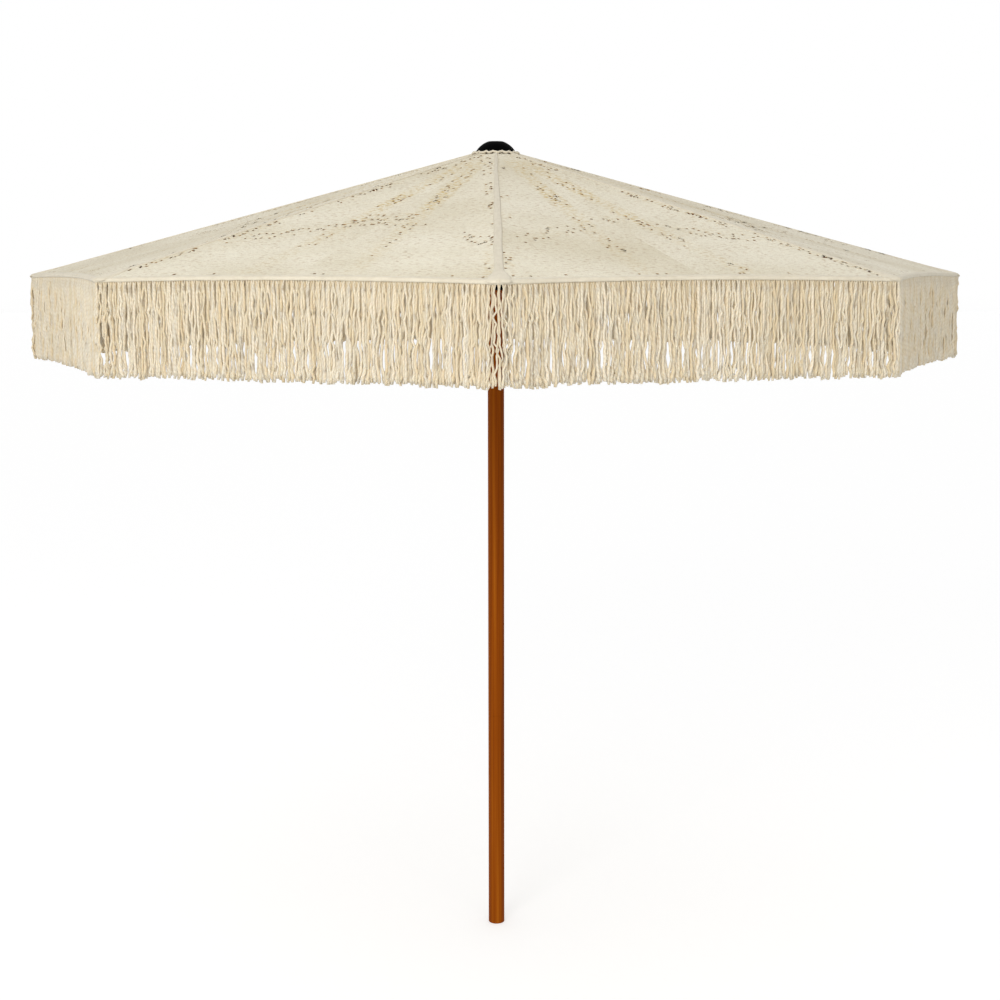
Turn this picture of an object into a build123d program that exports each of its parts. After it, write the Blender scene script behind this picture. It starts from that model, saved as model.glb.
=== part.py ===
from build123d import *

import os
from math import atan2, cos, degrees, hypot, radians, sin, tan

# A round garden parasol: a teak pole carries a crown and a sliding runner, and eight ribs
# with eight struts hold a lace canopy of eight gores with a long fringe at its edge.
# Millimetres. The origin is the centre of the pole's foot, and +Z is up.

# Canopy
rib_count = 8
first_azimuth = -90
tip_radius = 1350
rim_height = 1965
rib_slope = 15.05
cloth_thickness = 3
cloth_gap = 2
crown_hole_radius = 30
seam_gap = 0.25

# Fringe
fringe_length = 235
fringe_thickness = 5
fringe_inset = 6
fringe_top_gap = 4

# Ribs and their end caps
rib_width = 18
rib_depth = 24
rib_end_radius = 1298
tongue_width = 14
tongue_length = 26
tenon_width = 13
tenon_depth = 18
tenon_length = 20
tip_length = 24
tip_round = 5

# Struts and the brackets that join them to the ribs
strut_width = 14
strut_depth = 16
strut_station = 500
strut_drop = 26
bracket_sheet = 2
bracket_side_gap = 0.3
bracket_length = 46
ear_radius = 8
rivet_head_radius = 4
rivet_head_height = 1.5
screw_radius = 1.5
screw_length = 12
screw_head_radius = 3
screw_head_height = 1.4
screw_spacing = 34

# Pivots, shared by the crown and the runner
pivot_radius = 46
pin_radius = 2
pin_short_end = 11
pin_long_end = 18
drill_open_end = 35
slot_width = 15
hub_radius = 56
fit = 0.05

# Crown and cap
crown_height = 28
crown_slot_floor = 33
tenon_radius = 20
cap_radius = 57
cap_height = 2346
cap_flat_radius = 21
cap_skirt = 4
cap_bulge = (0.78, 0.53)  # of the cap's radius and of the dome's height
cap_gap = 0.6
cap_plug_radius = 25
stud_radius = 4
stud_depth = 45

# Runner
runner_bore = 25
runner_slot_floor = 36
runner_flange_height = 26
runner_collar_radius = 34
runner_collar_length = 55

# Pole, in two pieces that screw together
pole_radius = 24
foot_chamfer = 2
joint_height = 650
joint_chamfer = 0.5
coupling_radius = 8
coupling_length = 130
insert_radius = 15
insert_length = 70
insert_setback = 2

# Lock pin under the open runner
lock_pin_radius = 4
lock_hole_radius = 4.2
lock_pin_gap = 0.6
lock_pin_reach = 32
lock_head_radius = 5.5
lock_head_length = 11
lock_head_start = 36
lock_azimuth = 67.5
ring_radius = 13
ring_wire = 1.5
ring_hole_radius = 2.6

# Worked out from the above
half_gore = 180 / rib_count
rib_fall = tan(radians(rib_slope))
gore_fall = rib_fall / cos(radians(half_gore))
cloth_apex = rim_height + tip_radius * rib_fall
rib_half_rise = rib_depth / 2 / cos(radians(rib_slope))
crown_pivot_height = cloth_apex - cloth_thickness - cloth_gap - rib_half_rise - pivot_radius * rib_fall
link_length = hypot(strut_station, strut_drop)
link_angle = rib_slope + degrees(atan2(strut_drop, strut_station))
runner_pivot_height = crown_pivot_height - 2 * link_length * sin(radians(link_angle))
rib_length = (rib_end_radius - pivot_radius) / cos(radians(rib_slope))
crown_top = crown_pivot_height + 9.5
crown_bottom = crown_top - crown_height
runner_bottom = runner_pivot_height - runner_collar_length
lock_pin_height = runner_bottom - lock_pin_radius - lock_pin_gap
ring_station = lock_head_start + lock_head_length / 2


def spoke(shape, number):
    """Turn a shape made for a rib that points along +X to its own place round the pole."""
    return Rot(0, 0, first_azimuth + number * 360 / rib_count) * shape


def along_rib(shape):
    """Place a shape made with X along the rib, measured from the rib's pivot."""
    return Pos(pivot_radius, 0, crown_pivot_height) * Rot(0, rib_slope, 0) * shape


def along_strut(shape):
    """Place a shape made with X along the strut, measured from the runner's pivot."""
    return Pos(pivot_radius, 0, runner_pivot_height) * Rot(0, -link_angle, 0) * shape


def cross_pin(radius, length):
    """A pin across a rib or strut, centred on its pivot."""
    return Rot(90, 0, 0) * Cylinder(radius, length)


def low_cylinder(radius, bottom, top):
    """A cylinder on the pole's axis between two heights."""
    return Pos(0, 0, (bottom + top) / 2) * Cylinder(radius, top - bottom)


def pole_lower():
    body = low_cylinder(pole_radius, 0, joint_height)
    body = chamfer(body.edges().sort_by(Axis.Z)[0], foot_chamfer)
    body = chamfer(body.edges().sort_by(Axis.Z)[-1], joint_chamfer)
    socket_bottom = joint_height - insert_setback - insert_length
    body -= low_cylinder(insert_radius + fit, socket_bottom, joint_height)
    return body


def pole_upper():
    body = low_cylinder(pole_radius, joint_height, crown_bottom)
    body = chamfer(body.edges().sort_by(Axis.Z)[0], joint_chamfer)
    body += low_cylinder(tenon_radius, crown_bottom, crown_top)
    body -= low_cylinder(coupling_radius + fit, joint_height, joint_height + coupling_length / 2)
    body -= low_cylinder(stud_radius + fit, crown_top - stud_depth, crown_top)
    hole = Rot(0, 0, lock_azimuth) * Rot(0, 90, 0) * Cylinder(lock_hole_radius, 3 * pole_radius)
    return body - Pos(0, 0, lock_pin_height) * hole


def coupling_stud():
    half = coupling_length / 2
    stud = low_cylinder(coupling_radius, joint_height - half, joint_height + half)
    return chamfer(stud.edges(), 1)


def coupling_insert():
    top = joint_height - insert_setback
    sleeve = low_cylinder(insert_radius, top - insert_length, top)
    sleeve = chamfer(sleeve.edges(), 1)
    return sleeve - low_cylinder(coupling_radius + fit, top - insert_length, top)


def slotted_ring(outer, floor, bottom, top, pivot_height):
    """A ring whose outer band is cut by eight slots, with a pin hole drilled across each."""
    ring = low_cylinder(outer, bottom, top)
    ring = chamfer(ring.edges(), 1.5)
    slot = Pos(floor + outer / 2, 0, (bottom + top) / 2) * Box(outer, slot_width, 2 * (top - bottom))
    blind_end = pin_short_end + 0.5
    drill = cross_pin(pin_radius + fit, drill_open_end + blind_end)
    drill = Pos(pivot_radius, (drill_open_end - blind_end) / 2, pivot_height) * drill
    for number in range(rib_count):
        ring -= spoke(slot, number)
        ring -= spoke(drill, number)
    return ring


def hub_pins(pivot_height):
    """The eight pins of a slotted ring, each entered from one side of its slot."""
    middle = (pin_long_end - pin_short_end) / 2
    pin = chamfer(cross_pin(pin_radius, pin_long_end + pin_short_end).edges(), 0.4)
    pin = Pos(pivot_radius, middle, pivot_height) * pin
    return Compound([spoke(pin, number) for number in range(rib_count)])


def crown_hub():
    ring = slotted_ring(hub_radius, crown_slot_floor, crown_bottom, crown_top, crown_pivot_height)
    return ring - low_cylinder(tenon_radius + fit, crown_bottom, crown_top)


def runner_hub():
    half = runner_flange_height / 2
    bottom = runner_pivot_height - half
    top = runner_pivot_height + half
    ring = slotted_ring(hub_radius, runner_slot_floor, bottom, top, runner_pivot_height)
    collar = low_cylinder(runner_collar_radius, runner_bottom, bottom + 1)
    collar = chamfer(collar.edges().sort_by(Axis.Z)[0], 3)
    return ring + collar - low_cylinder(runner_bore, runner_bottom, top)


def crown_cap():
    base = cloth_apex - cap_radius * rib_fall + cap_gap
    centre = cloth_apex - cap_plug_radius * rib_fall + cap_gap
    shoulder = base + cap_skirt
    bulge = (cap_bulge[0] * cap_radius, shoulder + cap_bulge[1] * (cap_height - shoulder))
    outline = Polyline(
        (0, cap_height),
        (0, crown_top),
        (cap_plug_radius, crown_top),
        (cap_plug_radius, centre),
        (cap_radius, base),
        (cap_radius, shoulder),
    )
    dome = ThreePointArc((cap_radius, shoulder), bulge, (cap_flat_radius, cap_height))
    flat = Line((cap_flat_radius, cap_height), (0, cap_height))
    profile = Plane.XZ * make_face([outline, dome, flat])
    bore = low_cylinder(stud_radius + fit, crown_top, crown_top + 20)
    return revolve(profile, Axis.Z) - bore


def cap_stud():
    stud = low_cylinder(stud_radius, crown_top - stud_depth, crown_top + 20)
    return chamfer(stud.edges(), 0.8)


def rib():
    """A straight teak lath, thinned to a tongue at the crown and to a tenon at the tip."""
    radius = rib_depth / 2
    body = Pos(rib_length / 2, 0, 0) * Box(rib_length, rib_width, rib_depth)
    body = chamfer(body.edges().filter_by(Axis.X), 1)
    side_cut = (rib_width - tongue_width) / 2
    for side in (-1, 1):
        edge = side * (rib_width - side_cut) / 2
        body -= Pos(tongue_length / 2, edge, 0) * Box(tongue_length, side_cut, rib_depth)
    body += cross_pin(radius, tongue_width)
    body -= cross_pin(pin_radius + fit, tongue_width)
    body += Pos(rib_length + tenon_length / 2, 0, 0) * Box(tenon_length, tenon_width, tenon_depth)
    for side in (-1, 1):
        station = strut_station + side * screw_spacing / 2
        bottom = -rib_depth / 2
        body -= Pos(station, 0, bottom + screw_length / 2) * Cylinder(screw_radius + fit, screw_length)
    return along_rib(body)


def rib_tip():
    """The cap on the rib's outer end, with a rounded nose."""
    cap = Pos(rib_length + tip_length / 2, 0, 0) * Box(tip_length, rib_width, rib_depth)
    cap = fillet(cap.faces().sort_by(Axis.X)[-1].edges(), tip_round)
    socket = Box(tenon_length, tenon_width + 2 * fit, tenon_depth + 2 * fit)
    return along_rib(cap - Pos(rib_length + tenon_length / 2, 0, 0) * socket)


def strut_bracket():
    """A folded steel bracket under the rib, with its two screws and the rivet that holds the strut."""
    inner = strut_width + 2 * bracket_side_gap
    outer = inner + 2 * bracket_sheet
    web_top = -rib_depth / 2
    web_bottom = web_top - bracket_sheet
    web = Pos(0, 0, (web_top + web_bottom) / 2) * Box(bracket_length, outer, bracket_sheet)
    ear = Pos(0, 0, -strut_drop) * cross_pin(ear_radius, outer)
    ear += Pos(0, 0, (web_top - strut_drop) / 2) * Box(2 * ear_radius, outer, web_top + strut_drop)
    gap_depth = 2 * strut_drop
    ear -= Pos(0, 0, web_bottom - gap_depth / 2) * Box(2 * bracket_length, inner, gap_depth)
    body = web + ear
    body -= Pos(0, 0, -strut_drop) * cross_pin(pin_radius + fit, 2 * outer)
    screws = []
    for side in (-1, 1):
        at = Pos(side * screw_spacing / 2, 0, 0)
        body -= at * Pos(0, 0, web_top) * Cylinder(screw_radius + fit, 4 * bracket_sheet)
        top = web_top + screw_length - 0.5
        shank = Pos(0, 0, (top + web_bottom) / 2) * Cylinder(screw_radius, top - web_bottom)
        head = Pos(0, 0, web_bottom - screw_head_height / 2) * Cylinder(screw_head_radius, screw_head_height)
        screws.append(at * (shank + head))
    rivet = cross_pin(pin_radius, outer)
    for side in (-1, 1):
        head_y = side * (outer + rivet_head_height) / 2
        rivet += Pos(0, head_y, 0) * cross_pin(rivet_head_radius, rivet_head_height)
    rivet = Pos(0, 0, -strut_drop) * rivet
    pieces = Compound([body, rivet, *screws])
    return along_rib(Pos(strut_station, 0, 0) * pieces)


def strut():
    """A flat bar with round ends, one pivot on the runner and one in its rib's bracket."""
    body = Pos(link_length / 2, 0, 0) * Box(link_length, strut_width, strut_depth)
    body = chamfer(body.edges().filter_by(Axis.X), 1)
    for station in (0, link_length):
        body += Pos(station, 0, 0) * cross_pin(strut_depth / 2, strut_width)
    for station in (0, link_length):
        body -= Pos(station, 0, 0) * cross_pin(pin_radius + fit, strut_width)
    return along_strut(body)


def gore_height(x, y, side):
    """Height of the cloth's upper face over a point of the half gore on one side of the rib."""
    across = x * cos(radians(half_gore)) + side * y * sin(radians(half_gore))
    return cloth_apex - across * gore_fall


def gore_middle(radius, side):
    """The point, seen from above, where a line across a half gore ends just short of the middle."""
    turn = radians(half_gore)
    x = radius * cos(turn) ** 2 + seam_gap * sin(turn)
    y = radius * cos(turn) * sin(turn) - seam_gap * cos(turn)
    return x, side * y


def half_gore_plan(inner, outer, side):
    """The outline of a half gore seen from above, given by two radii on the rib line."""
    return [(inner, 0), (outer, 0), gore_middle(outer, side), gore_middle(inner, side)]


def canopy_panel():
    """The cloth over one rib: two half gores that meet in the seam on the rib."""
    halves = []
    for side in (-1, 1):
        plan = half_gore_plan(crown_hole_radius, tip_radius, side)
        corners = [Vector(x, y, gore_height(x, y, side)) for x, y in plan]
        face = Face(Wire.make_polygon(corners, close=True))
        halves.append(extrude(face, amount=cloth_thickness, dir=(0, 0, -1)))
    return Compound(halves)


def fringe():
    """The curtain of cords under one panel's edge, taken as one closed solid."""
    outer = tip_radius - fringe_inset
    inner = outer - fringe_thickness / cos(radians(half_gore))
    top = rim_height - fringe_top_gap
    bottom = rim_height - fringe_length
    halves = []
    for side in (-1, 1):
        plan = half_gore_plan(inner, outer, side)
        face = Face(Wire.make_polygon([Vector(x, y, bottom) for x, y in plan], close=True))
        halves.append(extrude(face, amount=top - bottom, dir=(0, 0, 1)))
    return halves[0] + halves[1]


def across_pole(shape):
    """Place a shape made with X along the lock pin, measured from the pole's axis."""
    return Pos(0, 0, lock_pin_height) * Rot(0, 0, lock_azimuth) * shape


def lock_pin():
    """The pin that holds the runner up: a shank through the pole and a drilled head."""
    shank_length = lock_pin_reach + lock_head_start
    middle = (lock_head_start - lock_pin_reach) / 2
    shank = Pos(middle, 0, 0) * Rot(0, 90, 0) * Cylinder(lock_pin_radius, shank_length)
    shank = chamfer(shank.edges().sort_by(Axis.X)[0], 1.5)
    head = Rot(0, 90, 0) * Cylinder(lock_head_radius, lock_head_length)
    head = chamfer(head.edges(), 1) - cross_pin(ring_hole_radius, 4 * lock_head_radius)
    return across_pole(shank + Pos(ring_station, 0, 0) * head)


def pin_ring():
    """The ring that hangs in the hole of the lock pin's head."""
    ring = Rot(0, 90, 0) * Torus(ring_radius, ring_wire)
    return across_pole(Pos(ring_station, 0, -ring_radius) * ring)


def write(shape, node):
    export_step(shape, f"parts/{node}.step")


os.makedirs("parts", exist_ok=True)

write(pole_lower(), "pole_lower")
write(pole_upper(), "pole_upper")
write(coupling_stud(), "coupling_stud")
write(coupling_insert(), "coupling_insert")
write(crown_hub(), "crown_hub")
write(hub_pins(crown_pivot_height), "crown_pins")
write(crown_cap(), "crown_cap")
write(cap_stud(), "cap_stud")
write(runner_hub(), "runner_hub")
write(hub_pins(runner_pivot_height), "runner_pins")
write(lock_pin(), "lock_pin")
write(pin_ring(), "pin_ring")

spoke_parts = {
    "rib": rib(),
    "rib_tip": rib_tip(),
    "strut_bracket": strut_bracket(),
    "strut": strut(),
    "canopy_panel": canopy_panel(),
    "fringe": fringe(),
}
for part_name, part_shape in spoke_parts.items():
    for rib_index in range(rib_count):
        write(spoke(part_shape, rib_index), f"{part_name}_{rib_index + 1}")
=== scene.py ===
import math
import random

import bmesh
import bpy
from mathutils import Matrix, Vector, noise


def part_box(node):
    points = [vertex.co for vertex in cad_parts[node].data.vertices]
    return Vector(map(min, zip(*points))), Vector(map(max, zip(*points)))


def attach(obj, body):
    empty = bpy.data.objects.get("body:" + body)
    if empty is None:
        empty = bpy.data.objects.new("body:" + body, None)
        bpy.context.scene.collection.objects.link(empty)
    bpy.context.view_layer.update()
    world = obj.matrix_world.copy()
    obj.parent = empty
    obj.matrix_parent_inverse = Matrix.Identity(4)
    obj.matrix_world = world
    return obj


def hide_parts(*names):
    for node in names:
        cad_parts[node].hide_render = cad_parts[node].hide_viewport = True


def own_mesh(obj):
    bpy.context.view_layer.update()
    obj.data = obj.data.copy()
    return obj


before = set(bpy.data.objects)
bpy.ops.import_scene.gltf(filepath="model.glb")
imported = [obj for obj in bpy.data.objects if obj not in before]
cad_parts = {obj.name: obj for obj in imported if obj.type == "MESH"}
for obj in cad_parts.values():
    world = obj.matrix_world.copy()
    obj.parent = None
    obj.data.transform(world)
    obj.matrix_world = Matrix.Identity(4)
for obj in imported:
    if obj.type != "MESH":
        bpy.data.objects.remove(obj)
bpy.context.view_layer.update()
print("frame loaded:", len(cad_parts), "nodes")

# shared sizes, in metres
panelLow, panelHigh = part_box("canopy_panel_1")

ribCount = 8
halfGore = math.pi / ribCount
clothDepth = 0.003                                      # of the frame's canopy panels
tipRadius = -panelLow.y
rimHeight = panelLow.z + clothDepth
neckRadius = 0.030                                      # hole in the cloth under the cap
ribFall = (panelHigh.z - rimHeight) / (tipRadius - neckRadius)
clothApex = rimHeight + tipRadius * ribFall
ribStretch = math.sqrt(1 + ribFall ** 2)                # slant length over plan length, along a rib
goreFall = ribFall / math.cos(halfGore)                 # slope down the middle of a gore
goreStretch = math.sqrt(1 + goreFall ** 2)              # and down the middle of a gore
hemReach = tipRadius * math.cos(halfGore)               # pole axis to the middle of a hem
hemHalf = tipRadius * math.sin(halfGore)                # half of one hem's length


def ribTurn(index):
    return Matrix.Rotation(-math.pi / 2 + (index - 1) * 2 * halfGore, 4, "Z")


def smoothStep(low, high, value):
    x = min(1.0, max(0.0, (value - low) / (high - low)))
    return x * x * (3 - 2 * x)


def noiseAt(x, y, z):
    return noise.noise(Vector((x, y, z)))


# Directions from above, for the half gore on one side of a rib along X: out and toward the rib.
def goreAxes(side):
    out = Vector((math.cos(halfGore), side * math.sin(halfGore), 0))
    toRib = Vector((math.sin(halfGore), -side * math.cos(halfGore), 0))
    return out, toRib


# materials
# An sRGB hex colour as the linear colour that shaders use.
def linear(code):
    parts = [int(code[k:k + 2], 16) / 255 for k in (1, 3, 5)]
    return [c / 12.92 if c <= 0.04045 else ((c + 0.055) / 1.055) ** 2.4 for c in parts] + [1.0]


def addNode(tree, kind, settings=None, links=None):
    node = tree.nodes.new(kind)
    for key, value in (settings or {}).items():
        if isinstance(key, int) or key in node.inputs:
            node.inputs[key].default_value = value
        else:
            setattr(node, key, value)
    for key, source in (links or {}).items():
        tree.links.new(source, node.inputs[key])
    return node


def startMaterial(name, roughness, ior=1.5, metallic=0.0):
    material = bpy.data.materials.new(name)
    material.use_nodes = True
    tree = material.node_tree
    shader = tree.nodes["Principled BSDF"]
    shader.inputs["Roughness"].default_value = roughness
    shader.inputs["IOR"].default_value = ior
    shader.inputs["Metallic"].default_value = metallic
    return material, tree, shader


# A colour ramp with (place, hex colour) stops.
def rampNode(tree, source, stops):
    node = addNode(tree, "ShaderNodeValToRGB", {}, {"Fac": source})
    elements = node.color_ramp.elements
    while len(elements) < len(stops):
        elements.new(0.5)
    for element, (place, code) in zip(elements, stops):
        element.position = place
        element.color = linear(code)
    return node


knitLook = {
    "yarn": "#e3dcc7",          # natural undyed cotton
    "yarnShade": "#d0c6ab",
    "fleckAndGapShade": "#a07e50",         # seed flecks, and painted shade for the gaps between rows
    "gold": "#c2a55c",          # tighter yarn round the lace holes
    "rowPitch": 0.011,          # real rows are 5 mm; drawn coarser so that they show
    "fleckAndGapLength": 0.015,
    "fleckAndGapHeight": 0.0080,
}


def makeCottonKnit():
    # undyed cotton, machine knitted in rows along the hem: matt, slightly fuzzy, with seed flecks and dark
    # dashes of painted shade for the gaps between rows
    material, tree, shader = startMaterial("cottonKnit", 0.92, 1.47)
    look = knitLook
    coords = addNode(tree, "ShaderNodeUVMap", {"uv_map": "clothUv"})
    stretch = addNode(tree, "ShaderNodeMapping",
                      {"Scale": (1 / look["fleckAndGapLength"], 1 / look["fleckAndGapHeight"], 1)},
                      {"Vector": coords.outputs["UV"]})
    dashes = addNode(tree, "ShaderNodeTexNoise", {"Scale": 1.0, "Detail": 1.5, "Roughness": 0.55},
                     {"Vector": stretch.outputs["Vector"]})
    patches = addNode(tree, "ShaderNodeTexNoise", {"Scale": 9.0, "Detail": 2.0},
                      {"Vector": coords.outputs["UV"]})
    tone = addNode(tree, "ShaderNodeTexNoise", {"Scale": 2.5, "Detail": 3.0},
                   {"Vector": coords.outputs["UV"]})
    grain = addNode(tree, "ShaderNodeTexNoise", {"Scale": 170.0, "Detail": 2.0, "Roughness": 0.7},
                    {"Vector": coords.outputs["UV"]})
    mixed = addNode(tree, "ShaderNodeMath", {"operation": "MULTIPLY_ADD", 1: 0.6},
                    {0: grain.outputs["Fac"], 2: tone.outputs["Fac"]})
    base = rampNode(tree, mixed.outputs[0], [(0.62, look["yarnShade"]), (0.98, look["yarn"])])
    fleckAndGapShadeMask = addNode(tree, "ShaderNodeMapRange",
                        {"From Min": 0.52, "From Max": 0.70, "To Min": 0.0, "To Max": 0.52},
                        {"Value": dashes.outputs["Fac"]})
    patchMask = addNode(tree, "ShaderNodeMapRange",
                        {"From Min": 0.30, "From Max": 0.60, "To Min": 0.35, "To Max": 1.0},
                        {"Value": patches.outputs["Fac"]})
    fleckAndGapShadeShare = addNode(tree, "ShaderNodeMath", {"operation": "MULTIPLY"},
                         {0: fleckAndGapShadeMask.outputs["Result"], 1: patchMask.outputs["Result"]})
    # the dashes darken the yarn: partly seed flecks, partly painted shade for the gaps between rows
    fleckedAndGapShaded = addNode(tree, "ShaderNodeMix", {"data_type": "RGBA", 7: linear(look["fleckAndGapShade"])},
                      {0: fleckAndGapShadeShare.outputs[0], 6: base.outputs["Color"]})
    lace = addNode(tree, "ShaderNodeAttribute", {"attribute_name": "lacework"})
    goldDash = addNode(tree, "ShaderNodeMapRange",
                       {"From Min": 0.47, "From Max": 0.60, "To Min": 0.02, "To Max": 0.85},
                       {"Value": dashes.outputs["Fac"]})
    goldShare = addNode(tree, "ShaderNodeMath", {"operation": "MULTIPLY"},
                        {0: lace.outputs["Fac"], 1: goldDash.outputs["Result"]})
    golden = addNode(tree, "ShaderNodeMix", {"data_type": "RGBA", 7: linear(look["gold"])},
                     {0: goldShare.outputs[0], 6: fleckedAndGapShaded.outputs[2]})
    tree.links.new(golden.outputs[2], shader.inputs["Base Color"])
    rows = addNode(tree, "ShaderNodeTexWave",
                   {"bands_direction": "Y", "Scale": 2 * math.pi / look["rowPitch"] / 20,
                    "Distortion": 1.5, "Detail": 2.0, "Detail Scale": 3.0},
                   {"Vector": coords.outputs["UV"]})
    stitches = addNode(tree, "ShaderNodeTexVoronoi", {"Scale": 160.0},
                       {"Vector": coords.outputs["UV"]})
    height = addNode(tree, "ShaderNodeMath", {"operation": "ADD"},
                     {0: rows.outputs["Fac"], 1: stitches.outputs["Distance"]})
    bump = addNode(tree, "ShaderNodeBump", {"Strength": 0.55, "Distance": 0.0025},
                   {"Height": height.outputs[0]})
    tree.links.new(bump.outputs["Normal"], shader.inputs["Normal"])
    shader.inputs["Sheen Weight"].default_value = 0.15
    shader.inputs["Sheen Roughness"].default_value = 0.5
    return material


def makePaintedHoleShade():
    # painted shade: the same cotton on the walls of a lace hole, darkened to stand in for the shade deep
    # inside the hole
    material, tree, shader = startMaterial("paintedHoleShade", 0.95, 1.47)
    coords = addNode(tree, "ShaderNodeTexCoord")
    grain = addNode(tree, "ShaderNodeTexNoise", {"Scale": 60.0, "Detail": 2.0},
                    {"Vector": coords.outputs["Object"]})
    ramp = rampNode(tree, grain.outputs["Fac"], [(0.35, "#6b5236"), (0.7, "#b08a58")])
    tree.links.new(ramp.outputs["Color"], shader.inputs["Base Color"])
    return material


def makeCottonTwill():
    # smooth woven cotton tape of the seams and the hem: paler and flatter than the knit
    material, tree, shader = startMaterial("cottonTwill", 0.85, 1.47)
    coords = addNode(tree, "ShaderNodeUVMap", {"uv_map": "clothUv"})
    tone = addNode(tree, "ShaderNodeTexNoise", {"Scale": 28.0, "Detail": 4.0, "Roughness": 0.6},
                   {"Vector": coords.outputs["UV"]})
    ramp = rampNode(tree, tone.outputs["Fac"], [(0.3, "#cbc1ab"), (0.6, "#d6cdb8")])
    tree.links.new(ramp.outputs["Color"], shader.inputs["Base Color"])
    weave = addNode(tree, "ShaderNodeTexWave",
                    {"bands_direction": "DIAGONAL", "Scale": 90.0, "Distortion": 0.6, "Detail": 1.0},
                    {"Vector": coords.outputs["UV"]})
    bump = addNode(tree, "ShaderNodeBump", {"Strength": 0.35, "Distance": 0.0012},
                   {"Height": weave.outputs["Fac"]})
    tree.links.new(bump.outputs["Normal"], shader.inputs["Normal"])
    shader.inputs["Sheen Weight"].default_value = 0.15
    return material


cordLook = {
    "light": "#e8dcc6",
    "mid": "#e0d2b8",
    "dark": "#d7c4a2",
    # painted shade in the twist's groove
    "paintedGrooveShade": "#c6b08a",
    "twistPitch": 0.011,        # one turn of the two plies, drawn a little coarser than real
}


def makeCottonCord():
    # loosely twisted two-ply cotton cord: matt, with a soft spiral groove whose darker colour is painted
    # shade
    material, tree, shader = startMaterial("cottonCord", 0.9, 1.47)
    look = cordLook
    coords = addNode(tree, "ShaderNodeUVMap", {"uv_map": "clothUv"})
    split = addNode(tree, "ShaderNodeSeparateXYZ", {}, {"Vector": coords.outputs["UV"]})
    # random tone of each cord, with painted shade under the hem and behind the front cords
    tone = addNode(tree, "ShaderNodeAttribute", {"attribute_name": "cordToneAndShade"})
    start = addNode(tree, "ShaderNodeMath", {"operation": "MULTIPLY", 1: 9.0}, {0: tone.outputs["Fac"]})
    around = addNode(tree, "ShaderNodeMath", {"operation": "MULTIPLY_ADD", 1: 2.0},
                     {0: split.outputs["X"], 2: start.outputs[0]})
    turn = addNode(tree, "ShaderNodeMath", {"operation": "MULTIPLY_ADD", 1: 1 / look["twistPitch"]},
                   {0: split.outputs["Y"], 2: around.outputs[0]})
    angle = addNode(tree, "ShaderNodeMath", {"operation": "MULTIPLY", 1: 2 * math.pi}, {0: turn.outputs[0]})
    spiral = addNode(tree, "ShaderNodeMath", {"operation": "SINE"}, {0: angle.outputs[0]})
    fuzz = addNode(tree, "ShaderNodeTexNoise", {"Scale": 260.0, "Detail": 2.0},
                   {"Vector": coords.outputs["UV"]})
    # painted shade: the groove's darker colour; the bump below gives its shape
    paintedGrooveShade = addNode(tree, "ShaderNodeMapRange",
                     {"From Min": -1.0, "From Max": 0.2, "To Min": 0.30, "To Max": 0.0},
                     {"Value": spiral.outputs[0]})
    base = rampNode(tree, tone.outputs["Fac"],
                    [(0.0, look["dark"]), (0.5, look["mid"]), (1.0, look["light"])])
    grooveShadedColour = addNode(tree, "ShaderNodeMix", {"data_type": "RGBA", 7: linear(look["paintedGrooveShade"])},
                      {0: paintedGrooveShade.outputs["Result"], 6: base.outputs["Color"]})
    tree.links.new(grooveShadedColour.outputs[2], shader.inputs["Base Color"])
    height = addNode(tree, "ShaderNodeMath", {"operation": "MULTIPLY_ADD", 1: 0.5},
                     {0: spiral.outputs[0], 2: fuzz.outputs["Fac"]})
    bump = addNode(tree, "ShaderNodeBump", {"Strength": 0.4, "Distance": 0.0010},
                   {"Height": height.outputs[0]})
    tree.links.new(bump.outputs["Normal"], shader.inputs["Normal"])
    shader.inputs["Sheen Weight"].default_value = 0.15
    shader.inputs["Subsurface Weight"].default_value = 0.35
    shader.inputs["Subsurface Radius"].default_value = (0.012, 0.010, 0.008)
    shader.inputs["Subsurface Scale"].default_value = 1.0
    return material


teakLook = {
    "dark": "#692b00",
    "mid": "#863f00",
    "light": "#9c540a",
    "grainWidth": 0.0024,
    "grainLength": 0.30,
}


def makeOiledTeak(name, yaw=0.0, pitch=math.pi / 2):
    # oiled teak, planed and sanded: straight grain in reddish browns, a low satin gloss
    material, tree, shader = startMaterial(name, 0.55, 1.5)
    look = teakLook
    coords = addNode(tree, "ShaderNodeTexCoord")
    unturn = addNode(tree, "ShaderNodeVectorRotate",
                     {"rotation_type": "EULER_XYZ", "invert": True, "Rotation": (0, pitch, yaw)},
                     {"Vector": coords.outputs["Object"]})
    stretch = addNode(tree, "ShaderNodeMapping",
                      {"Scale": (1 / look["grainLength"], 1 / look["grainWidth"], 1 / look["grainWidth"])},
                      {"Vector": unturn.outputs["Vector"]})
    grain = addNode(tree, "ShaderNodeTexNoise", {"Scale": 0.35, "Detail": 5.0, "Roughness": 0.62},
                    {"Vector": stretch.outputs["Vector"]})
    broad = addNode(tree, "ShaderNodeTexNoise", {"Scale": 0.07, "Detail": 2.0},
                    {"Vector": stretch.outputs["Vector"]})
    half = addNode(tree, "ShaderNodeMath", {"operation": "MULTIPLY", 1: 0.45}, {0: broad.outputs["Fac"]})
    blend = addNode(tree, "ShaderNodeMath", {"operation": "MULTIPLY_ADD", 1: 0.55},
                    {0: grain.outputs["Fac"], 2: half.outputs[0]})
    ramp = rampNode(tree, blend.outputs[0],
                    [(0.36, look["dark"]), (0.50, look["mid"]), (0.66, look["light"])])
    tree.links.new(ramp.outputs["Color"], shader.inputs["Base Color"])
    bump = addNode(tree, "ShaderNodeBump", {"Strength": 0.25, "Distance": 0.0006},
                   {"Height": grain.outputs["Fac"]})
    tree.links.new(bump.outputs["Normal"], shader.inputs["Normal"])
    shader.inputs["Specular IOR Level"].default_value = 0.04
    return material


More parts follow.
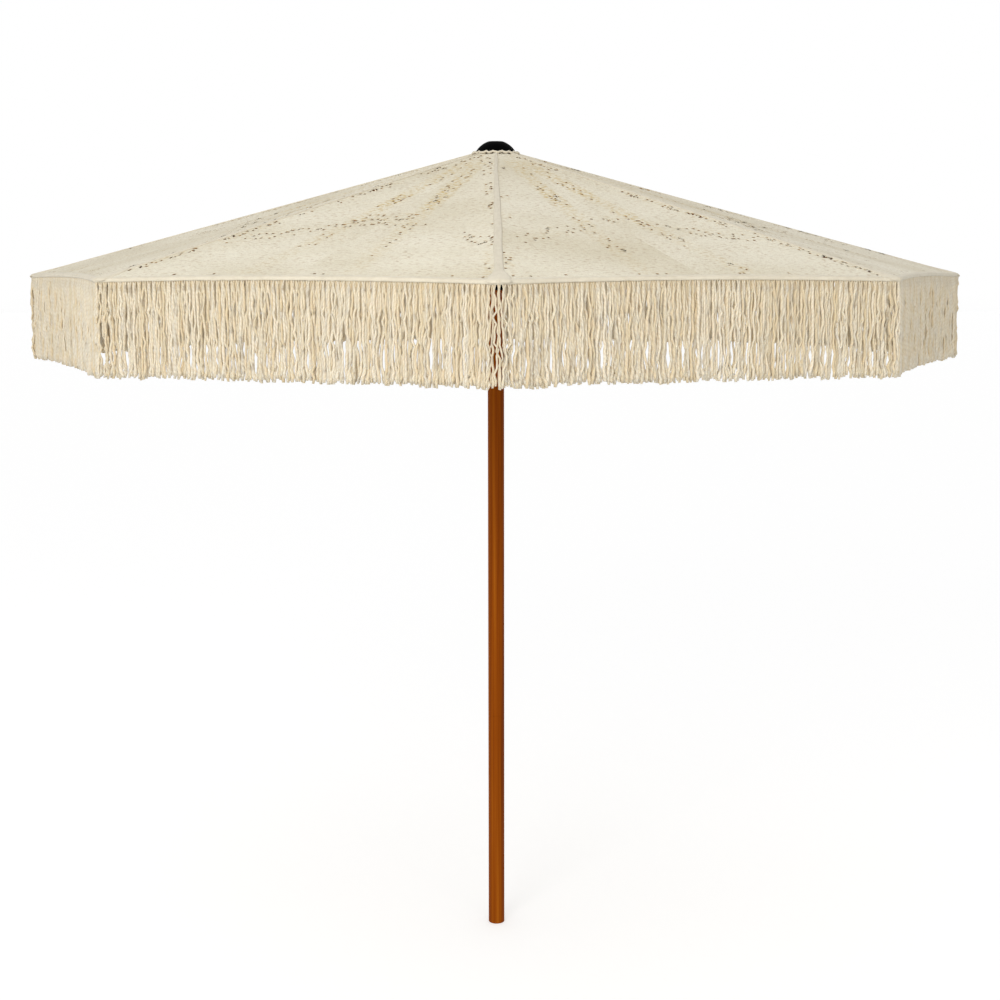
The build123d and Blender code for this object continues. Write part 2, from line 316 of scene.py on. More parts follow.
def makeBlackNylon():
    # moulded black nylon: deep black, satin, with a very fine spark-eroded grain
    material, tree, shader = startMaterial("blackNylon", 0.6, 1.53)
    coords = addNode(tree, "ShaderNodeTexCoord")
    grain = addNode(tree, "ShaderNodeTexNoise", {"Scale": 900.0, "Detail": 2.0},
                    {"Vector": coords.outputs["Object"]})
    ramp = rampNode(tree, grain.outputs["Fac"], [(0.3, "#020202"), (0.7, "#040405")])
    tree.links.new(ramp.outputs["Color"], shader.inputs["Base Color"])
    bump = addNode(tree, "ShaderNodeBump", {"Strength": 0.15, "Distance": 0.0002},
                   {"Height": grain.outputs["Fac"]})
    tree.links.new(bump.outputs["Normal"], shader.inputs["Normal"])
    shader.inputs["Specular IOR Level"].default_value = 0.015
    return material


def makeZincSteel():
    # zinc-plated mild steel: grey metal with a faint cloudy bloom
    material, tree, shader = startMaterial("zincPlatedSteel", 0.35, 1.5, 1.0)
    coords = addNode(tree, "ShaderNodeTexCoord")
    bloom = addNode(tree, "ShaderNodeTexNoise", {"Scale": 120.0, "Detail": 3.0},
                    {"Vector": coords.outputs["Object"]})
    ramp = rampNode(tree, bloom.outputs["Fac"], [(0.35, "#a9a9a4"), (0.65, "#c9c9c6")])
    tree.links.new(ramp.outputs["Color"], shader.inputs["Base Color"])
    rough = addNode(tree, "ShaderNodeMapRange", {"To Min": 0.28, "To Max": 0.48},
                    {"Value": bloom.outputs["Fac"]})
    tree.links.new(rough.outputs["Result"], shader.inputs["Roughness"])
    return material


cottonKnit = makeCottonKnit()
paintedHoleShade = makePaintedHoleShade()
cottonTwill = makeCottonTwill()
cottonCord = makeCottonCord()
blackNylon = makeBlackNylon()
zincPlatedSteel = makeZincSteel()
print("materials made")


# mesh helpers
# A unit grid from 0 to 1 in X and Y, with its UVs in metres. Returns its vertices.
def layGrid(bm, across, along, uvSize, uvStart=(0.0, 0.0)):
    uvLayer = bm.loops.layers.uv.get("clothUv") or bm.loops.layers.uv.new("clothUv")
    made = bmesh.ops.create_grid(bm, x_segments=across, y_segments=along, size=0.5,
                                 matrix=Matrix.Translation((0.5, 0.5, 0)))
    faces = {face for vert in made["verts"] for face in vert.link_faces}
    for face in faces:
        face.smooth = True
        for loop in face.loops:
            loop[uvLayer].uv = (uvStart[0] + loop.vert.co.x * uvSize[0],
                                uvStart[1] + loop.vert.co.y * uvSize[1])
    return made["verts"]


def finishPiece(bm, name, materials, body):
    mesh = bpy.data.meshes.new(name)
    bm.to_mesh(mesh)
    bm.free()
    for material in materials:
        mesh.materials.append(material)
    piece = bpy.data.objects.new(name, mesh)
    bpy.context.scene.collection.objects.link(piece)
    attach(piece, body)
    return piece


# Turns a sheet over where it came out facing down.
def faceUp(bm, faces):
    bm.normal_update()
    if sum(face.normal.z for face in faces) < 0:
        bmesh.ops.reverse_faces(bm, faces=list(faces))


# canopy cloth
cloth = {
    "cellAcross": 0.0058,       # one lace mesh, along the hem
    "cellDown": 0.0080,         # and down the slope
    # each cloth's inner and outer end from the pole, and the share of its width that is left when folded
    "zones": [("crown_cloth", 0.030, 0.160, 0.62), ("shoulder_cloth", 0.160, 0.330, 0.35),
              ("canopy_cloth", 0.330, hemReach, 0.19)],
    "hemCurve": 0.024,          # the hem is cut back this far between two ribs
    "sag": 0.007,
    "thickness": 0.0022,
    "lap": 0.0001,              # neighbouring cloths lap this much at their seams
    "border": 0.003,            # the edge of a cloth stays straight for this far
    "seamMargin": 0.008,        # no holes nearer than this to a rib
    "hemMargin": 0.006,         # or to the hem
    "slots": (0.058, 0.067),    # ring of slots round the cap, from the pole
    "slotCount": 22,
    "slotShift": 1.7,
    "jitterAcross": 0.0012,     # the yarn strays this far from its mesh
    "jitterDown": 0.0014,
    "ripple": 0.0022,
}
# Measured in the plane of the gore, from the apex: g down its middle and h toward the rib.
lacePlan = {
    "lineAngle": math.radians(6.0),     # lace lines either side of a gore's middle
    "cornerAt": 0.7187,         # side corner of the lace diamond
    "footAt": 1.076,            # lower corner of the diamond, on the rib
    "lineFrom": 0.05,
    "lineTo": 1.26,
    # length of one lozenge of the chain, half its width, and the most that a mesh is likely to be a hole
    "lineChain": (0.105, 0.015, 0.50),
    "diamondChain": (0.088, 0.026, 0.95),
    "beadPitch": 0.0175,        # the holes follow each other like beads
    "beadWidth": 0.0042,
    "strayReach": 0.008,        # single holes lie this far beside a chain
    "strayChance": 0.035,
    "hemRow": (0.034, 0.024),   # row of holes along the hem, back from its edge
    "hemRowChance": 0.10,
    "ribBand": (0.011, 0.036),  # band of holes beside a rib
}
ribAngle = math.acos(1 / math.sqrt(1 + (hemHalf / (hemReach * goreStretch)) ** 2))


# A point of the cloth: t from the middle of the gore toward the rib, d out from the pole.
def clothPoint(side, t, d):
    out, toRib = goreAxes(side)
    half = max(1e-6, d * math.tan(halfGore))
    edge = min(1.0, abs(t) / half)
    pulled = d - cloth["hemCurve"] * (1 - edge ** 2) * (d / hemReach) ** 5
    point = out * pulled + toRib * t
    point.z = clothApex - pulled * goreFall
    along = min(1.0, d / hemReach)
    point.z -= cloth["sag"] * (1 - edge ** 2) * math.sin(math.pi * along ** 1.2)
    return point


# How far a point is from a chain of lozenges that runs along a line.
def chainGap(along, off, period, width):
    bulge = width * abs(math.sin(math.pi * along / period))
    return abs(abs(off) - bulge)


# Distance along and off a straight line in the plane of the gore.
def segmentPlace(g, h, start, end):
    line = Vector(end) - Vector(start)
    length = line.length
    line.normalize()
    rel = Vector((g, h)) - Vector(start)
    along = rel.dot(line)
    off = rel.x * line.y - rel.y * line.x
    inside = -0.01 < along < length + 0.01
    return along, off, inside


def polar(radius, angle):
    return radius * math.cos(angle), radius * math.sin(angle)


# Start, end, lozenge length, half width and chance of each chain of holes that crosses a half gore.
def laceLines():
    tan = math.tan(lacePlan["lineAngle"])
    lineFrom, lineTo = lacePlan["lineFrom"], lacePlan["lineTo"]
    corner = polar(lacePlan["cornerAt"], lacePlan["lineAngle"])
    foot = polar(lacePlan["footAt"], ribAngle)
    return [
        ((lineFrom, lineFrom * tan), (lineTo, lineTo * tan), *lacePlan["lineChain"]),
        ((corner[0], -corner[1]), foot, *lacePlan["diamondChain"]),
        (corner, (foot[0], -foot[1]), *lacePlan["diamondChain"]),
    ]


# The chance of a lace hole at a place in a half gore, and how near the lace lines it is.
def laceAt(t, d, seed, ribLace):
    g = d * goreStretch
    h = t
    chance = 0.0
    near = 0.0
    for number, (start, end, period, width, most) in enumerate(laceLines()):
        along, off, inside = segmentPlace(g, h, start, end)
        if not inside:
            continue
        patch = noiseAt(along * 6, number * 7.3 + seed, 0.4)
        strength = smoothStep(-0.25, 0.15, patch) * (0.25 + 0.75 * smoothStep(0.20, 0.55, g))
        gap = chainGap(along, off, period, width)
        golden = (0.55 + 0.45 * strength) * smoothStep(0.08, 0.2, g) if number == 0 else 0.35 * strength
        golden *= 1 - 0.6 * smoothStep(0.6, 0.9, g)
        near = max(near, golden * (1 - smoothStep(width, width + 0.02, abs(off))))
        onBead = math.sin(along * 2 * math.pi / lacePlan["beadPitch"]) > -0.1
        if gap < lacePlan["beadWidth"] and onBead:
            chance = max(chance, most * strength)
        elif abs(off) < width + lacePlan["strayReach"]:
            chance = max(chance, lacePlan["strayChance"] * strength)
    fromRib = g * math.sin(ribAngle) - h * math.cos(ribAngle)
    alongRib = g * math.cos(ribAngle) + h * math.sin(ribAngle)
    rowFrom, rowTo = lacePlan["hemRow"]
    if hemReach - rowFrom < d < hemReach - rowTo:
        chance = max(chance, lacePlan["hemRowChance"])
    bandFrom, bandTo = lacePlan["ribBand"]
    if bandFrom < fromRib < bandTo:
        patch = noiseAt(alongRib * 7, 31.7 + seed, 2.1)
        strength = smoothStep(0.05 - 0.4 * ribLace, 0.4 - 0.3 * ribLace, patch)
        strength *= 0.5 + 0.5 * smoothStep(0.15, 0.45, alongRib)
        near = max(near, 0.3 * strength)
        fade = 1 - 0.6 * smoothStep(0.020, 0.034, fromRib)
        chance = max(chance, (0.24 + 0.22 * ribLace) * strength * fade)
    return chance, near


def addHalfGore(bm, side, dFrom, dTo, index, rng):
    part = bmesh.new()
    across = max(4, round(dTo * math.tan(halfGore) / cloth["cellAcross"]))
    down = round((dTo - dFrom) / cloth["cellDown"])
    width = dTo * math.tan(halfGore)
    verts = layGrid(part, across, down, (width, (dTo - dFrom) * goreStretch),
                    (index * 3.1 + side * 0.7, dFrom * goreStretch))
    lap = cloth["lap"]
    for vert in verts:
        vert.co = Vector((vert.co.x * (width + lap) - lap, dFrom - lap + vert.co.y * (dTo - dFrom + lap), 0))
    normal = Vector((math.cos(halfGore), -math.sin(halfGore), 0))
    bmesh.ops.bisect_plane(part, geom=part.verts[:] + part.edges[:] + part.faces[:], dist=1e-5,
                           plane_co=(0, 0, 0), plane_no=normal, clear_outer=True)
    seed = index * 5.1 + side * 2.3
    ribLace = 0.0 if index == 1 else 1.0                    # the front rib has little lace beside it
    slotsFrom, slotsTo = cloth["slots"]
    doomed = set()
    for face in part.faces:
        centre = face.calc_center_median()
        margin = centre.y * math.tan(halfGore) - centre.x
        atHem = dTo > hemReach - 0.01 and centre.y > dTo - cloth["hemMargin"]
        if atHem or margin < cloth["seamMargin"] or centre.y < slotsFrom:
            continue
        chance, _ = laceAt(centre.x, centre.y, seed, ribLace)
        if centre.y < slotsTo:
            phase = math.atan2(centre.x, centre.y) * cloth["slotCount"] + index * cloth["slotShift"]
            chance = 2.0 if math.sin(phase) > 0.25 else 0.0
        crowded = any(other in doomed for edge in face.edges for other in edge.link_faces)
        if rng.random() < chance * (0.16 if crowded and chance < 1 else 0.6):
            doomed.add(face)
    holes = [face for face in part.faces if face in doomed]         # in mesh order, which a set has not
    bmesh.ops.delete(part, geom=holes, context="FACES")
    laceLayer = part.verts.layers.float.new("lacework")
    borderLayer = part.verts.layers.float.new("border")
    border = cloth["border"]
    for vert in part.verts:
        t, d = vert.co.x, vert.co.y
        _, vert[laceLayer] = laceAt(t, d, seed, ribLace)
        inner = d * math.tan(halfGore) - t > border and t > border and dFrom + border < d < dTo - border
        vert[borderLayer] = 0.0 if inner else 1.0
        if inner:
            t += rng.uniform(-cloth["jitterAcross"], cloth["jitterAcross"])
            d += rng.uniform(-cloth["jitterDown"], cloth["jitterDown"])
        point = clothPoint(side, t, d)
        ripple = noiseAt(t * 7 + seed, d * 5, 0.7) * cloth["ripple"]
        point.z += ripple * smoothStep(0.0, 0.05, t) * smoothStep(0, 0.06, d * math.tan(halfGore) - t)
        vert.co = point
    faceUp(part, part.faces)
    bmesh.ops.solidify(part, geom=part.faces[:], thickness=cloth["thickness"])
    part.normal_update()
    for face in part.faces:
        if abs(face.normal.z) >= 0.6:                       # not a wall
            continue
        if sum(vert[borderLayer] > 0.5 for vert in face.verts) < 2:
            # a hole's wall takes the painted hole shade
            face.material_index = 1
            continue
        face.smooth = False                                 # a cut edge: neighbouring cloths meet unseen
        for edge in face.edges:
            edge.smooth = False
    scratch = bpy.data.meshes.new("scratch")
    part.to_mesh(scratch)
    part.free()
    bm.from_mesh(scratch)
    bpy.data.meshes.remove(scratch)


def makeCloth(index, name, dFrom, dTo, keep):
    pieces = []
    for side, word in ((-1, "left"), (1, "right")):
        rng = random.Random(index * 17 + side)
        bm = bmesh.new()
        addHalfGore(bm, side, dFrom, dTo, index, rng)
        bmesh.ops.transform(bm, matrix=ribTurn(index), verts=bm.verts)
        piece = finishPiece(bm, f"{name}_{index}_{word}", [cottonKnit, paintedHoleShade],
                            f"rib_{index}")
        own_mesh(piece)
        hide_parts(f"canopy_panel_{index}")
        area = (dTo ** 2 - dFrom ** 2) * math.tan(halfGore) / 2 * goreStretch
        pieces.append((piece, (dTo * math.tan(halfGore), (dTo - dFrom) * goreStretch), area))
    return pieces


# seam tape and tip pocket
tape = {
    "start": 0.050,
    "topWidth": 0.009,
    "lowWidth": 0.021,
    "pocketWidth": 0.056,
    "pocketLength": 0.085,
    "wrap": 0.004,              # how far the pocket folds down over the rib's tip
    "nose": 0.005,              # radius of the bend over the rib's tip
    "lift": 0.0013,
    "thickness": 0.0011,
    "wobble": 0.0030,
    "puff": 0.0018,             # the pocket bulges this much
    "ridge": 0.0012,            # and one side of the tape stands up this much
}


def makeTape(index):
    bm = bmesh.new()
    slant = tipRadius * ribStretch
    total = slant + tape["wrap"]
    verts = layGrid(bm, 10, 150, (0.05, total))
    start = tape["start"]
    nose = tape["nose"]
    bend = nose * 1.57                                      # length of tape round the nose
    for vert in verts:
        v = vert.co.y
        s = start + (total - start) * v
        grow = smoothStep(0.0, 0.8, s / slant)
        width = tape["topWidth"] + (tape["lowWidth"] - tape["topWidth"]) * grow
        bag = smoothStep(slant - tape["pocketLength"] - 0.02, slant - 0.020, s)
        width += (tape["pocketWidth"] - tape["lowWidth"]) * bag
        tail = max(0.0, (s - slant) / tape["wrap"])
        width *= math.sqrt(max(0.02, 1 - 0.75 * tail ** 3))
        wobble = tape["wobble"] * noiseAt(s * 5, index * 3.3, 0)
        y = (vert.co.x - 0.5) * width + wobble
        across = abs(vert.co.x - 0.5) * 2
        if s < slant - nose:
            x = s / ribStretch
            z = clothApex - x * ribFall
            drop = 0.0
        else:
            turn = min(1.0, (s - (slant - nose)) / bend)
            angle = turn * math.pi / 2
            x = (slant - nose) / ribStretch + nose * math.sin(angle) * 0.9 + 0.003 * turn
            z = clothApex - (slant - nose) / ribStretch * ribFall - nose * (1 - math.cos(angle))
            drop = max(0.0, s - (slant - nose) - bend)
        z -= drop
        x -= 0.35 * abs(y) * (1.0 if s > slant - nose else 0.0) * smoothStep(0.0, 0.03, abs(y)) * 0.9
        roof = abs(y) * math.sin(halfGore) * goreFall
        crown = tape["lift"] * (1 - across ** 4)
        puff = tape["puff"] * bag * (1 - across ** 2) * (1 - tail)
        ridge = tape["ridge"] * smoothStep(0.55, 0.9, vert.co.x) * (1 - smoothStep(0.95, 1.0, vert.co.x))
        vert.co = Vector((x, y, z - roof * (1 - min(1, tail * 3)) + crown + puff + ridge))
    faceUp(bm, bm.faces)
    bmesh.ops.transform(bm, matrix=ribTurn(index), verts=bm.verts)
    piece = finishPiece(bm, f"seam_tape_{index}", [cottonTwill], f"rib_{index}")
    solid = piece.modifiers.new("wall", "SOLIDIFY")
    solid.thickness = tape["thickness"]
    solid.offset = -1
    return piece


# hem
hem = {
    # outline of the rolled hem, out from the cloth's edge and up from its face
    "outline": [(-0.0125, 0.0004), (-0.0100, 0.0013), (-0.0050, 0.0016), (0.0, 0.0014),
                (0.0024, 0.0002), (0.0032, -0.0028), (0.0026, -0.0062), (0.0004, -0.0078),
                (-0.0034, -0.0070), (-0.0100, -0.0034)],
    "stations": 64,
    "lump": 0.0012,
}


# A point of the hem's edge: share 0 at the rib's tip, 1 at the middle of the gore.
def hemPoint(side, share):
    return clothPoint(side, hemHalf * (1 - share), hemReach)


def makeHem(index, side, word):
    bm = bmesh.new()
    outline = hem["outline"]
    verts = layGrid(bm, len(outline), hem["stations"], (0.05, hemHalf))
    out, _ = goreAxes(side)
    for vert in verts:
        corner = round(vert.co.x * len(outline)) % len(outline)
        a, b = outline[corner]
        base = hemPoint(side, vert.co.y)
        lump = hem["lump"] * noiseAt(vert.co.y * 30, corner * 0.9, index + side)
        lump *= smoothStep(0.0, 0.04, vert.co.y) * (1 - smoothStep(0.96, 1.0, vert.co.y))
        vert.co = base + out * (a + lump) + Vector((0, 0, b + lump - a * goreFall))
    bmesh.ops.remove_doubles(bm, verts=bm.verts, dist=1e-6)
    ends = bmesh.ops.holes_fill(bm, edges=bm.edges, sides=0)["faces"]
    for edge in {edge for face in ends for edge in face.edges}:
        edge.smooth = False
    bmesh.ops.recalc_face_normals(bm, faces=bm.faces)
    bmesh.ops.transform(bm, matrix=ribTurn(index), verts=bm.verts)
    piece = finishPiece(bm, f"hem_{index}_{word}", [cottonTwill], f"rib_{index}")
    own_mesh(piece)
    return piece


# fringe
fringe = {
    "lengths": 8,               # lengths of fringe on each side of a rib
    "knots": 5,                 # knots in each length, with three cords from each
    "drop": 0.230,              # from the hem to the cords' ends
    "topGap": -0.0015,          # the knots sit this far under the cloth's edge
    "header": 0.025,            # height of the open inverted Vs
    "cordRadius": 0.0038,
    "corner": 0.010,            # only two cords from a knot this near to a rib
    "backExtra": 0.014,         # the fringe hangs a little longer at the back
    "endSpread": 0.005,
    "wave": 0.0046,
    "curl": 0.0052,
    "layers": 0.0032,           # cords lie up to this far in front of or behind the hem
    "bundle": 0.030,            # usual distance between two bundles of cords
    "pull": 0.36,
    "fan": 0.95,                # how much the bundles open again at their ends
    "inset": 0.002,
    "back": 0.0035,             # the third cord of a knot starts this far behind the other two
    "keep": 0.75,
}
# shares of a cord's length at which it has a ring of points, closer together in the header
ringsDown = [0.0, 0.04, 0.08, 0.12, 0.17, 0.23, 0.29, 0.35, 0.41, 0.47,
             0.53, 0.59, 0.65, 0.71, 0.77, 0.83, 0.89, 0.95, 1.0]
knotPitch = hemHalf / (fringe["lengths"] * fringe["knots"])


# One cord as a straight closed tube, 1 high, that every cord of the fringe is bent from.
def makeCordMesh():
    bm = bmesh.new()
    verts = layGrid(bm, 4, len(ringsDown) - 1, (1.0, fringe["drop"]))
    for vert in verts:
        angle = vert.co.x * 2 * math.pi
        ring = round(vert.co.y * (len(ringsDown) - 1))
        vert.co = Vector((math.cos(angle), math.sin(angle), -ring))
    bmesh.ops.remove_doubles(bm, verts=bm.verts, dist=1e-4)
    bmesh.ops.holes_fill(bm, edges=bm.edges, sides=0)
    bmesh.ops.recalc_face_normals(bm, faces=bm.faces)
    mesh = bpy.data.meshes.new("cordShape")
    bm.to_mesh(mesh)
    bm.free()
    return mesh


cordMesh = makeCordMesh()


# Places along half a hem where the cords gather.
def bundleCentres(rng):
    places = []
    at = rng.uniform(-0.01, 0.01)
    while at < hemHalf + 0.03:
        places.append((at, rng.uniform(0.35, 1.0)))
        at += fringe["bundle"] * rng.uniform(0.65, 1.5)
    return places


# One cord from a knot. It leans to one side in the header, is knotted to its neighbour and hangs.
def addCord(bm, toneAndShadeLayer, index, side, place, lean, bundles, rng):
    first = len(bm.verts)
    bm.from_mesh(cordMesh)
    bm.verts.ensure_lookup_table()
    out, toRib = goreAxes(side)
    header = fringe["header"]
    base = hemPoint(side, place / hemHalf) - out * fringe["inset"]
    topHeight = base.z - fringe["topGap"] - (header * 0.35 if lean == 0 else 0)
    azimuth = (index - 1) * 2 * halfGore + side * halfGore * place / hemHalf
    drop = fringe["drop"] + fringe["backExtra"] * (1 - math.cos(azimuth)) / 2
    endHeight = rimHeight - drop + rng.uniform(-1, 1) * fringe["endSpread"]
    endHeight += 0.004 * noiseAt(place * 14, side * 3.1, 5.5)
    length = topHeight - endHeight
    seed = rng.uniform(0, 1000)
    layer = rng.uniform(-1, 1) * fringe["layers"] - (fringe["layers"] if lean == 0 else 0)
    back = fringe["back"] if lean == 0 else 0.0
    nearest = min(bundles, key=lambda item: abs(item[0] - place))
    gather = (nearest[0] - place) * fringe["pull"] * nearest[1]
    # the fringe is worn thin over the front rib
    thin = 0.62 + 0.38 * smoothStep(0.012, 0.040, place) if index == 1 else 1.0
    thick = fringe["cordRadius"] * rng.uniform(0.84, 1.16) * thin
    tangle = 1.9 - 0.9 * smoothStep(0.02, 0.05, place)      # the cords curl most at a rib
    tone = rng.random()
    spread = knotPitch * (rng.uniform(0.22, 0.36) if lean else 0)
    middle = rng.uniform(-0.16, 0.16) * knotPitch if lean == 0 else 0.0
    for vert in bm.verts[first:]:
        share = ringsDown[int(round(-vert.co.z))]
        z = share * length
        opened = math.sin(min(1.0, z / header) * math.pi / 2) * knotPitch * 0.46
        opened += (spread - knotPitch * 0.46) * smoothStep(header, header + 0.014, z)
        drift = fringe["wave"] * noiseAt(seed, share * 4.5, 0)
        drift += fringe["curl"] * tangle * noiseAt(seed, share * 13, 9)
        drift *= smoothStep(0.05, 0.22, share)
        fan = 1 - fringe["fan"] * smoothStep(0.80, 0.97, share)
        gathered = gather * smoothStep(0.42, 0.72, share) * fan
        depth = fringe["wave"] * noiseAt(seed + 50, share * 4.5, 3)
        depth += fringe["curl"] * noiseAt(seed + 70, share * 13, 6)
        depth = layer * smoothStep(0.02, 0.3, share) + depth * smoothStep(0.05, 0.3, share)
        depth -= back * (1 - smoothStep(0.05, 0.3, share))
        across = middle + lean * opened + drift + gathered
        radius = thick * (1 + 0.38 * noiseAt(seed + 9, share * 15, 1))
        if lean:
            slim = 0.90 - 0.28 * smoothStep(0.05, 0.10, place)
            radius *= slim + (1 - slim) * smoothStep(header * 0.85, header * 1.15, z)
            radius *= 1 + 0.30 * math.exp(-((z - header * 1.1) / 0.006) ** 2)
        radius *= 1 + 0.35 * smoothStep(0.84, 0.94, share) - 0.5 * smoothStep(0.96, 1.0, share)
        around = vert.co.xy * radius
        # random tone with painted shade: side cords darker toward the hem, where the hem shades them
        if lean:
            vert[toneAndShadeLayer] = tone * (0.75 + 0.25 * share)
        else:
            # painted shade: the third cord hangs behind the others, so it is darker, and darkest in the
            # header
            vert[toneAndShadeLayer] = 0.8 * tone * smoothStep(header, header * 1.5, z)
        vert.co = base - toRib * (across + around.x) + out * (depth + around.y)
        vert.co.z = topHeight - z


def makeFringeLength(index, side, word, number, bundles, rng):
    bm = bmesh.new()
    bm.loops.layers.uv.new("clothUv")
    toneAndShadeLayer = bm.verts.layers.float.new("cordToneAndShade")
    for knot in range(fringe["knots"]):
        place = (number * fringe["knots"] + knot + 0.5) * knotPitch
        for lean in (-1, 1, 0):
            if lean or place > fringe["corner"]:
                addCord(bm, toneAndShadeLayer, index, side, place, lean, bundles, rng)
    for face in bm.faces:
        face.smooth = True
    turn = ribTurn(index)
    bmesh.ops.transform(bm, matrix=turn, verts=bm.verts)
    piece = finishPiece(bm, f"fringe_{index}_{word}_{number + 1}", [cottonCord],
                        f"fringe_{index}")
    middle = hemPoint(side, (number + 0.5) / fringe["lengths"])
    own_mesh(piece)
    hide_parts(f"fringe_{index}")
    return piece


# crown ring
crownRing = {
    "loops": 18,
    "radius": 0.0650,
    "thickOut": 0.0030,         # half the edge's thickness, outward and up
    "thickUp": 0.0032,
    "lift": 0.0030,
    "loopOut": 0.0018,          # how far the loops swing, inward and up
    "loopUp": 0.0012,
    "stray": 0.001,
}


# The looped cotton edge that shows round the cap.
def makeCrownRing():
    bm = bmesh.new()
    loops = crownRing["loops"]
    verts = layGrid(bm, 8, loops * 8, (0.02, 0.4))
    for vert in verts:
        angle = vert.co.y * 2 * math.pi
        x, y = math.cos(angle), math.sin(angle)
        wave = math.sin(angle * loops + 2.2 * noiseAt(x * 5, y * 5, 3))
        r = crownRing["radius"] - crownRing["loopOut"] * wave + crownRing["stray"] * noiseAt(x * 3, y * 3, 0)
        turn = vert.co.x * 2 * math.pi
        a = crownRing["thickOut"] * math.cos(turn)
        b = crownRing["thickUp"] * math.sin(turn)
        z = clothApex - r * ribFall + crownRing["lift"] + crownRing["loopUp"] * wave
        vert.co = Vector(((r + a) * x, (r + a) * y, z + b))
    bmesh.ops.remove_doubles(bm, verts=bm.verts, dist=1e-5)
    bmesh.ops.recalc_face_normals(bm, faces=bm.faces)
    return finishPiece(bm, "crown_ring", [cottonTwill], "pole")


# build
makeCrownRing()
for index in range(1, ribCount + 1):
    makeTape(index)
    innerCloths = [makeCloth(index, *zone) for zone in cloth["zones"][:-1]]
    mainCloth = makeCloth(index, *cloth["zones"][-1])
    for sideNumber, (side, word) in enumerate(((-1, "left"), (1, "right"))):
        rng = random.Random(index * 101 + side)
        bundles = bundleCentres(rng)
        hung = [makeHem(index, side, word)]
        for number in range(fringe["lengths"]):
            hung.append(makeFringeLength(index, side, word, number, bundles, rng))
print("canopy and fringe made")

# finishes of the frame's own parts
polePlank = makeOiledTeak("oiledTeakPole")
hubWood = makeOiledTeak("oiledTeakHub")
strutLow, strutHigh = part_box("strut_1")
strutRise = math.atan((strutHigh.z - strutLow.z) / (strutHigh.y - strutLow.y))
for name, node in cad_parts.items():
    kind = name.rstrip("0123456789").rstrip("_")
    number = int(name.split("_")[-1]) if name.split("_")[-1].isdigit() else 0
    yaw = -math.pi / 2 + (number - 1) * 2 * halfGore
    if kind in ("pole_lower", "pole_upper"):
        finish = polePlank
    elif kind in ("crown_hub", "runner_hub"):
        finish = hubWood
    elif kind == "rib":
        finish = makeOiledTeak(f"oiledTeak_{name}", yaw, math.atan(ribFall))
    elif kind == "strut":
        finish = makeOiledTeak(f"oiledTeak_{name}", yaw, -strutRise)
    elif kind in ("crown_cap", "rib_tip"):
        finish = blackNylon
    elif kind in ("canopy_panel", "fringe"):
        finish = cottonKnit
    else:
        finish = zincPlatedSteel
    node.data.materials.clear()
    node.data.materials.append(finish)
print("finishes set")

# studio
studio = {
    "zenith": 0.80,             # light from straight above
    "below": 0.90,              # light that comes back up from the floor
    "left": 0.85,
    "right": 0.66,
    "lampTarget": (0, 0, 1.8),
    "key": {"place": (-2.2, -6.0, 3.7), "size": 3.0, "watts": 155.0},
    "fill": {"place": (2.2, -6.0, 3.0), "size": 3.5, "watts": 45.0},
    "paperGlow": 0.52,
    "lens": 63.0,
    "distance": 5.137,
    "height": 2.0164,
    "tilt": math.radians(7.907),
    "swing": math.radians(0.3),
    "aim": math.radians(0.13),
    "roll": math.radians(-0.05),
}


def makeLamp(name, place, size, watts):
    data = bpy.data.lights.new(name, "AREA")
    data.shape = "DISK"
    data.size = size
    data.energy = watts
    lamp = bpy.data.objects.new(name, data)
    bpy.context.scene.collection.objects.link(lamp)
    lamp.location = place
    aim = Vector(studio["lampTarget"]) - Vector(place)
    lamp.rotation_euler = aim.to_track_quat("-Z", "Y").to_euler()
    return lamp


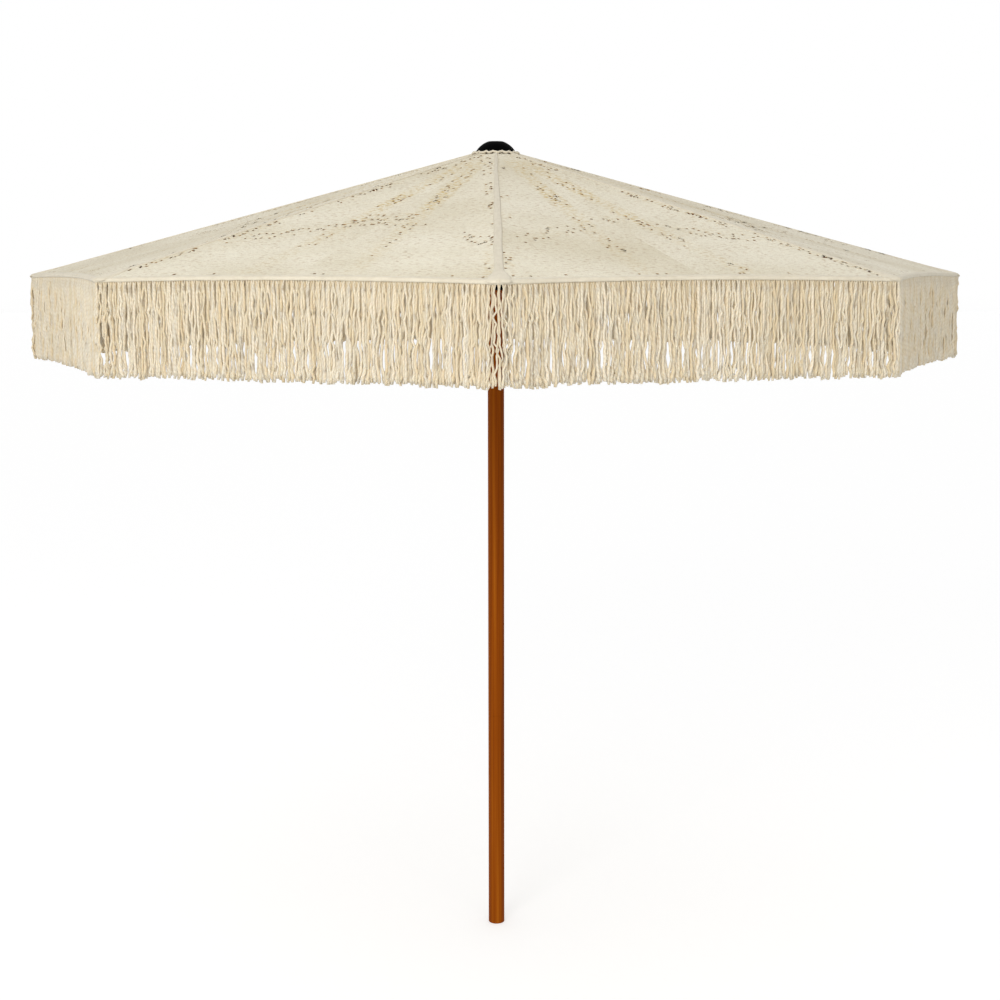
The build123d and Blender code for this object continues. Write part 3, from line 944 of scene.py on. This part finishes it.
def makeStudio():
    scene = bpy.context.scene
    scene.view_settings.view_transform = "Standard"
    world = bpy.data.worlds.new("paleStudio")
    scene.world = world
    world.use_nodes = True
    tree = world.node_tree
    background = tree.nodes["Background"]
    background.inputs["Color"].default_value = (1, 1, 1, 1)
    coords = addNode(tree, "ShaderNodeTexCoord")
    split = addNode(tree, "ShaderNodeSeparateXYZ", {}, {"Vector": coords.outputs["Generated"]})
    upper = addNode(tree, "ShaderNodeMapRange",
                    {"From Min": 0.25, "From Max": 0.8, "To Min": 1.0, "To Max": studio["zenith"]},
                    {"Value": split.outputs["Z"]})
    lower = addNode(tree, "ShaderNodeMapRange",
                    {"From Min": -0.12, "From Max": -0.02, "To Min": studio["below"], "To Max": 1.0},
                    {"Value": split.outputs["Z"]})
    right = addNode(tree, "ShaderNodeMapRange",
                    {"From Min": 0.35, "From Max": 0.9, "To Min": 1.0, "To Max": studio["right"]},
                    {"Value": split.outputs["X"]})
    left = addNode(tree, "ShaderNodeMapRange",
                   {"From Min": -0.9, "From Max": -0.35, "To Min": studio["left"], "To Max": 1.0},
                   {"Value": split.outputs["X"]})
    sides = addNode(tree, "ShaderNodeMath", {"operation": "MULTIPLY"},
                    {0: right.outputs["Result"], 1: left.outputs["Result"]})
    heights = addNode(tree, "ShaderNodeMath", {"operation": "MULTIPLY"},
                      {0: upper.outputs["Result"], 1: lower.outputs["Result"]})
    strength = addNode(tree, "ShaderNodeMath", {"operation": "MULTIPLY"},
                       {0: sides.outputs[0], 1: heights.outputs[0]})
    tree.links.new(strength.outputs[0], background.inputs["Strength"])
    makeLamp("keyLamp", **studio["key"])
    makeLamp("fillLamp", **studio["fill"])
    bm = bmesh.new()
    bmesh.ops.create_grid(bm, x_segments=1, y_segments=1, size=60)
    mesh = bpy.data.meshes.new("floor")
    bm.to_mesh(mesh)
    bm.free()
    floor = bpy.data.objects.new("floor", mesh)
    scene.collection.objects.link(floor)
    floor.location.z = -0.0005
    # matt white paper, seen from above only, so that the underside can be looked at from below
    material, tree, shader = startMaterial("palePaper", 0.9)
    shader.inputs["Base Color"].default_value = linear("#c4c4c4")
    shader.inputs["Emission Color"].default_value = (1, 1, 1, 1)
    shader.inputs["Emission Strength"].default_value = studio["paperGlow"]
    side = addNode(tree, "ShaderNodeNewGeometry")
    clear = addNode(tree, "ShaderNodeBsdfTransparent")
    seen = addNode(tree, "ShaderNodeMixShader", {},
                   {0: side.outputs["Backfacing"], 1: shader.outputs["BSDF"], 2: clear.outputs["BSDF"]})
    tree.links.new(seen.outputs["Shader"], tree.nodes["Material Output"].inputs["Surface"])
    mesh.materials.append(material)
    floor.visible_diffuse = False                           # its light comes from the lower half of the world
    camera = bpy.data.objects.new("camera", bpy.data.cameras.new("camera"))
    scene.collection.objects.link(camera)
    camera.data.lens = studio["lens"]
    camera.data.sensor_width = 36
    camera.data.clip_end = 200
    swing = studio["swing"]
    away = -studio["distance"]
    place = Vector((away * math.sin(swing), away * math.cos(swing), studio["height"]))
    turn = Matrix.Rotation(-swing - studio["aim"], 4, "Z")
    turn = turn @ Matrix.Rotation(math.pi / 2 - studio["tilt"], 4, "X")
    turn = turn @ Matrix.Rotation(studio["roll"], 4, "Z")
    camera.matrix_world = Matrix.Translation(place) @ turn
    scene.camera = camera


makeStudio()
print("studio set")
